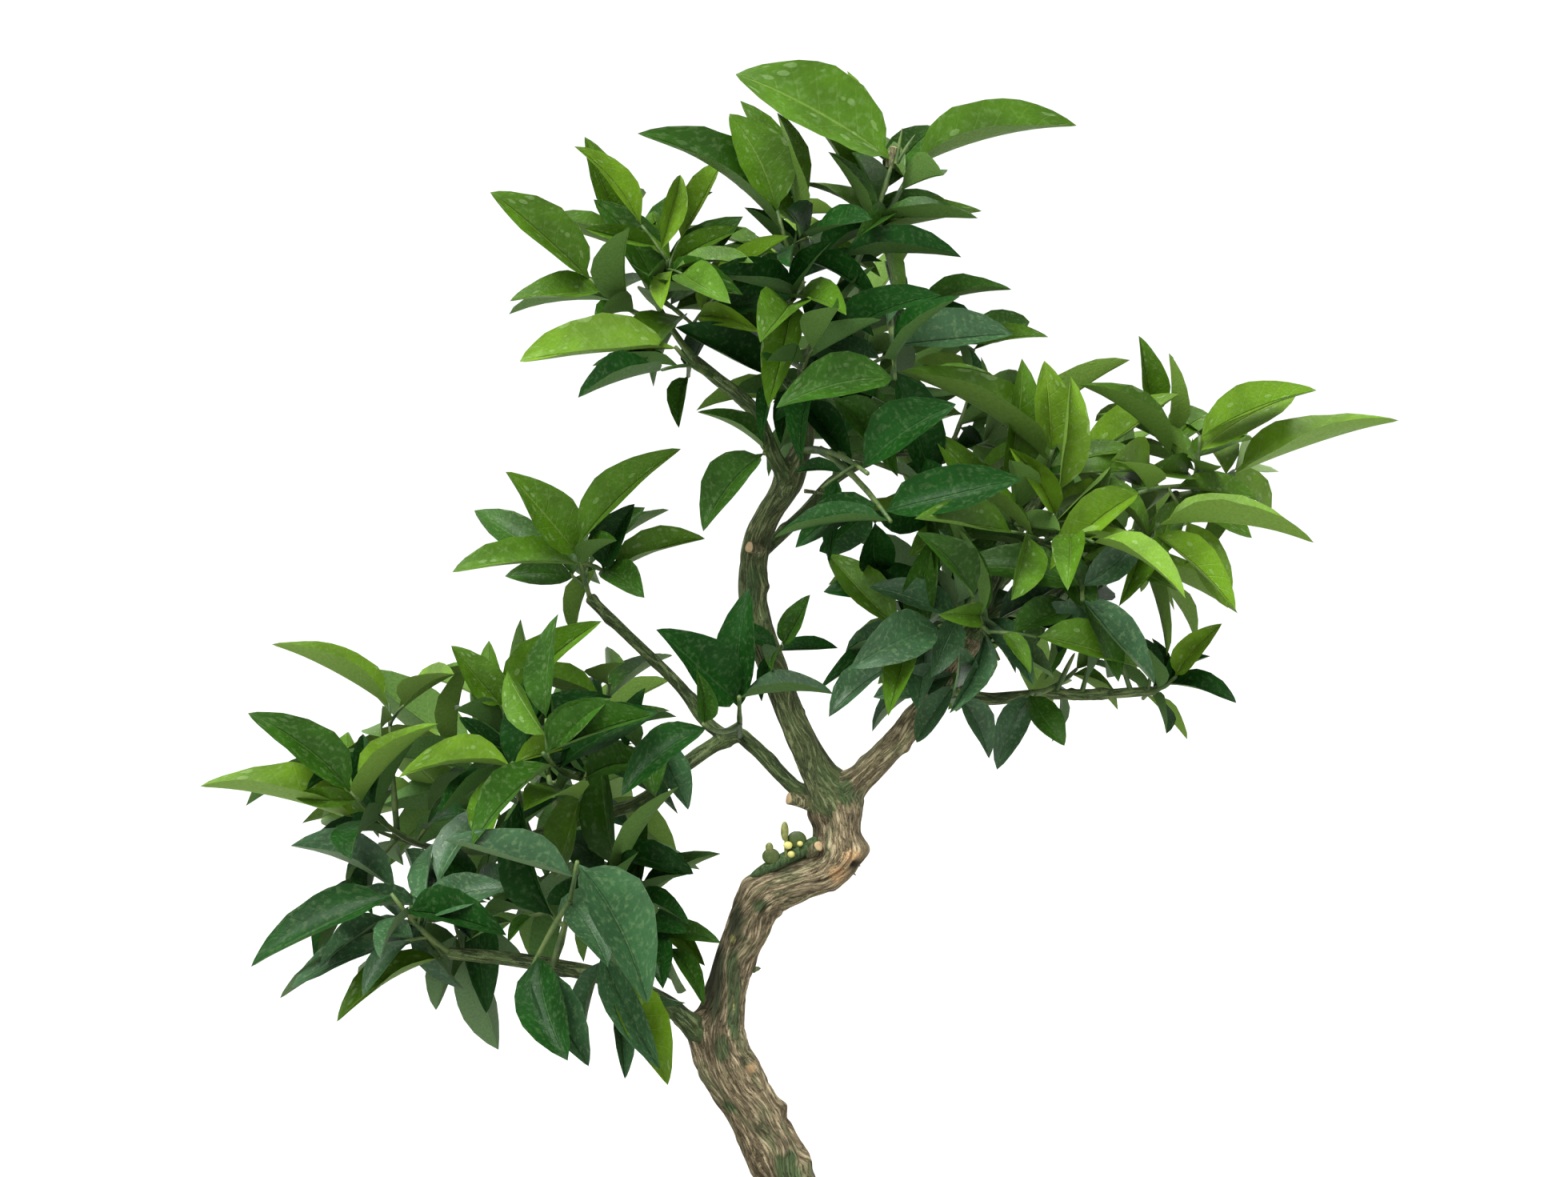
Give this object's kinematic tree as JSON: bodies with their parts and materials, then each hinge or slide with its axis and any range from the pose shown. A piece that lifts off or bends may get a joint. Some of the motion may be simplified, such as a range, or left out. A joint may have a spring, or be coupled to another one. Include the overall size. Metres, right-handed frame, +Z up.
{
  "type": "myrtle-leaf orange bonsai",
  "caption": "Small citrus tree with a crooked forked trunk, layered pads of pointed evergreen leaves, in a plain rectangular pot.",
  "frame": {"origin": "middle of the pot's flat underside", "axes": "+Z up, -Y towards the front of the tree, +X to the right as seen from the front"},
  "size_m": [0.389, 0.2255, 0.4754],
  "materials": {
    "pot": "satin",
    "soil": "matte",
    "bark": "matte",
    "young_bark": "matte",
    "foliage": "satin"
  },
  "bodies": {
    "root": {"pot": "pot", "soil": "soil", "trunk": "bark", "leader": "bark", "bough_right": "bark", "bough_right_upper": "young_bark", "bough_right_outer": "young_bark", "bough_low_right": "young_bark", "bough_back_right": "young_bark", "bough_lower_left": "young_bark", "bough_mid_left": "young_bark", "bough_isolated": "young_bark", "bough_upper_left": "young_bark", "bough_center": "young_bark", "foliage_apex": "foliage", "foliage_top_left": "foliage", "foliage_left_top": "foliage", "foliage_left_mid": "foliage", "foliage_leader_top": "foliage", "foliage_right_top": "foliage", "foliage_right_up": "foliage", "foliage_right_outer": "foliage", "foliage_right_mid": "foliage", "foliage_right_edge": "foliage", "foliage_right_low": "foliage", "foliage_inner_right": "foliage", "foliage_right_hanging": "foliage", "foliage_low_right_inner": "foliage", "foliage_low_right_tip": "foliage", "foliage_leader_front": "foliage", "foliage_sprout": "foliage", "foliage_isolated": "foliage", "foliage_before_leader": "foliage", "foliage_under_left": "foliage", "foliage_far_left": "foliage", "foliage_left_upper": "foliage", "foliage_left_inner": "foliage", "foliage_left_hanging": "foliage", "foliage_low_front": "foliage", "foliage_near_trunk": "foliage", "foliage_back_top": "foliage", "foliage_back_middle": "foliage", "foliage_back_right": "foliage", "foliage_back_inner": "foliage", "foliage_back_left": "foliage", "foliage_back_low": "foliage"}
  },
  "joints": []
}
